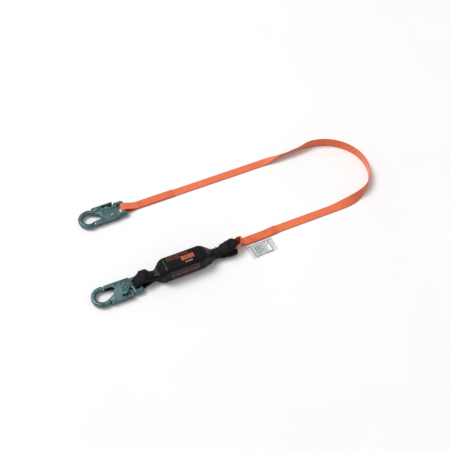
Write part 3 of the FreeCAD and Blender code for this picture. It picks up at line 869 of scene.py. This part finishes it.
def front_bars():
    """Broken rows of bars down the pack's near side, in bricks of uneven length."""
    start, end, gap = 178.0, 258, 2
    rows, half = 9, 0.022
    low_turn, high_turn = math.pi + 0.42, math.pi - 0.42
    patches = []
    for r in range(rows):
        turn = high_turn + (low_turn - high_turn) * (r + 0.5) / rows
        x = start
        for k in range(5):
            length = 9 + 6 * ((r * 3 + k * 5) % 4)
            stop = min(x + length, end)
            if stop - x > 3:
                patches.append((x, stop, turn - half, turn + half))
            x += length + gap
    return patches


def pack_print():
    """Plain bars and blocks where the pack carries its printing."""
    bar_lengths = (5, 3, 7, 4, 9, 3, 6, 8, 4)
    lines = []
    for row, start, count in ((0.9, 182, 9), (0.78, 178, 9), (0.66, 180, 5)):
        lines += bars_along(start, bar_lengths[:count], 1.6, row, row - 0.06)
    printed("pack_print_red", lines, red_ink)
    blocks = printed("pack_print_orange", bars_along(216.0, (9, 5, 5, 6, 5), 1.2, 0.62, 0.36), orange_ink)
    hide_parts("pack_label")
    printed("pack_print_pale", bars_along(222.0, (4, 3, 5, 4), 1.3, 0.27, 0.2), pale_ink)
    printed("pack_print_front", front_bars(), brown_ink)


# ------------------------------------------------------------------ label pouch

pouch_left, pouch_right, pouch_drop = -45, 33, 44
pouch_point = Vector((440, -1, 0))
pouch_turn = Matrix.Rotation(math.radians(1.5), 3, "Z")


def pouch_lift(x, y):
    """How far the pouch has curled up off the floor at a place in its own plan."""
    right = ease((x - 14) / 20)
    left = ease((-30 - x) / 15)
    out = -y / pouch_drop
    return 0.9 + 3.8 * right * (0.1 + 0.9 * out) + 2.6 * left * out + 0.9 * math.sin(x * 0.16) * out


def pouch_sheet(name, finish, x0, x1, y0, y1, low, thick, outline_at=None):
    """A thin sheet in the pouch's plan that follows its curl."""
    step = 1.6
    steps_x, steps_y = max(2, int((x1 - x0) / step)), max(2, int(abs(y1 - y0) / step))
    points = []
    for level in (low + thick, low):
        for i in range(steps_x + 1):
            for k in range(steps_y + 1):
                x = x0 + (x1 - x0) * i / steps_x
                y = y0 + (y1 - y0) * k / steps_y
                if outline_at:
                    x, y = outline_at(x, y)
                spot = Vector((x, y, pouch_lift(x, y) + level))
                points.append(pouch_turn @ spot + pouch_point)
    return sharpen(made(name, points, sheet_faces(steps_x, steps_y), finish))


def pouch_shape(x, y):
    """The pouch narrows a little towards its free edge, with rounded lower corners."""
    out = -y / pouch_drop
    corner = max(0, out - 0.86) / 0.14
    side = x + 6
    return -6 + side * (1 - 0.05 * out - 0.06 * corner * corner), y


def card_print(name, x0, x1, y0, y1, level, thick=0.12):
    """One plain dark bar or block inside the pouch."""
    mark = pouch_sheet(name, card_ink, x0, x1, y0, y1, level, thick)
    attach(mark, "label")


def label_pieces():
    """The clear pouch with its card, booklet, plain printing, hem and orange tether."""
    on_card, on_booklet = 0.78, 1.95
    edges = ((-32, 20, -5, -6), (-32, 20, -40.2, -42), (-32, -29.8, -6, -40), (18.4, 20, -6, -40),
             (7, 8, -6, -40))
    marks = ((9.5, -7.5), (14, -12), (9.5, -17))
    under = pouch_sheet("pouch_back", vinyl, pouch_left, pouch_right, 0, -pouch_drop, 0.0, 0.3, pouch_shape)
    over = pouch_sheet("pouch_front", vinyl, pouch_left, pouch_right, 0, -pouch_drop, 2.3, 0.35, pouch_shape)
    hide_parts("label_pouch")
    card = pouch_sheet("pouch_card", card_paper, -32, 20, -5, -42, 0.35, 0.4)
    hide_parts("label_card")
    booklet = pouch_sheet("pouch_booklet", booklet_paper, -28, 5, -8, -38, 0.9, 1.0)
    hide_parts("label_booklet")
    for i, edge in enumerate(edges):
        card_print("pouch_card_edge_%d" % (i + 1), *edge, on_card)
    for row in range(6):
        end = 1 - 5 * (row % 3)
        y = -12 - row * 4.2
        card_print("pouch_text_bar_%d" % (row + 1), -24, end, y, y - 1.4, on_booklet, 0.1)
    for i, (x, y) in enumerate(marks):
        card_print("pouch_card_mark_%d" % (i + 1), x, x + 3.4, y, y - 3.2, on_card)
    hem = pouch_sheet("pouch_hem", vinyl, -44, 32, -0.5, -4.2, 2.7, 0.5)
    tether = pouch_sheet("pouch_tether", orange, -16, -4, 15, 3.9, 3.7, 0.6)
    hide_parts("label_tether")
    for piece, name in ((under, "clear_vinyl"), (over, "clear_vinyl"), (hem, "clear_vinyl"),
                        (card, "card_paper"), (booklet, "card_paper")):
        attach(piece, "label")
    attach(tether, "pack_run")


# ------------------------------------------------------------------ hooks and hidden parts

def dress_cad_nodes():
    """Gives each CAD part that stays its own procedural finish."""
    finishes = {"hook_body": forged_zinc, "gate": sheet_zinc, "lock_lever": sheet_zinc,
                "gate_rivet": rivet_steel, "gate_cross_pin": rivet_steel, "lock_rivet": rivet_steel,
                "gate_spring": spring_steel, "lock_spring": spring_steel}
    for hook in ("harness_", "anchor_"):
        for part, finish in finishes.items():
            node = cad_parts[hook + part]
            node.data.materials.clear()
            node.data.materials.append(finish)
    for part, finish in (("tear_webbing", tear_web), ("tear_stitching", black_thread)):
        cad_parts[part].data.materials.clear()
        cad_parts[part].data.materials.append(finish)


# ------------------------------------------------------------------ stage

def studio():
    """A pale floor, soft overhead light from the far left, and the photograph's camera."""
    size = 30
    mesh = bpy.data.meshes.new("floor")
    level = -bar_height * MM
    corners = [(x, y, level) for x, y in ((-size, -size), (size, -size), (size, size), (-size, size))]
    mesh.from_pydata(corners, [], [(0, 1, 2, 3)])
    g = Graph("studio_floor")
    grain = g.noise(3, 3)
    white = g.mix(grain, rgb(244, 244, 244), rgb(249, 249, 249))
    mesh.materials.append(g.finish(Base_Color=white, Roughness=0.9, Specular_IOR_Level=0.1))
    floor = bpy.data.objects.new("floor", mesh)
    bpy.context.scene.collection.objects.link(floor)

    world = bpy.data.worlds.new("studio")
    world.use_nodes = True
    nodes = world.node_tree.nodes
    seen = nodes.new("ShaderNodeLightPath")
    backdrop = nodes.new("ShaderNodeMapRange")
    light_strength, seen_strength = 0.5, 0.97
    backdrop.inputs["To Min"].default_value = light_strength
    backdrop.inputs["To Max"].default_value = seen_strength
    world.node_tree.links.new(seen.outputs["Is Camera Ray"], backdrop.inputs["Value"])
    world.node_tree.links.new(backdrop.outputs["Result"], nodes["Background"].inputs["Strength"])
    nodes["Background"].inputs["Color"].default_value = (1, 1, 1, 1)
    bpy.context.scene.world = world
    bpy.context.scene.view_settings.view_transform = "Standard"

    middle = Vector((0.38, 0.1, level))
    sun = bpy.data.lights.new("sun", "SUN")
    sun.energy = 1.85
    sun.angle = math.radians(32)
    key = bpy.data.lights.new("key", "AREA")
    key.energy = 6.5
    key.size = 0.8
    for lamp, place in ((sun, Vector((-0.9, 1.0, 2.2))), (key, Vector((-1.0, 1.2, 1.9)))):
        holder = bpy.data.objects.new(lamp.name, lamp)
        holder.location = middle + place
        holder.rotation_euler = (-place).to_track_quat("-Z", "Y").to_euler()
        bpy.context.scene.collection.objects.link(holder)

    azimuth, elevation, distance = math.radians(-25), math.radians(50), 2.30
    target = Vector((0.381, 0.0912, level))
    back = Vector((math.sin(azimuth) * math.cos(elevation), -math.cos(azimuth) * math.cos(elevation),
                   math.sin(elevation)))
    lens = bpy.data.cameras.new("camera")
    lens.lens = 68.1
    camera = bpy.data.objects.new("camera", lens)
    camera.location = target + back * distance
    camera.rotation_euler = (-back).to_track_quat("-Z", "Y").to_euler()
    bpy.context.scene.collection.objects.link(camera)
    bpy.context.scene.camera = camera


webbing_pieces()
anchor_seam()
pack_seam()
harness_loop_pieces()
lanyard_loop_pieces()
film_cover()
pack_print()
label_pieces()
dress_cad_nodes()
studio()
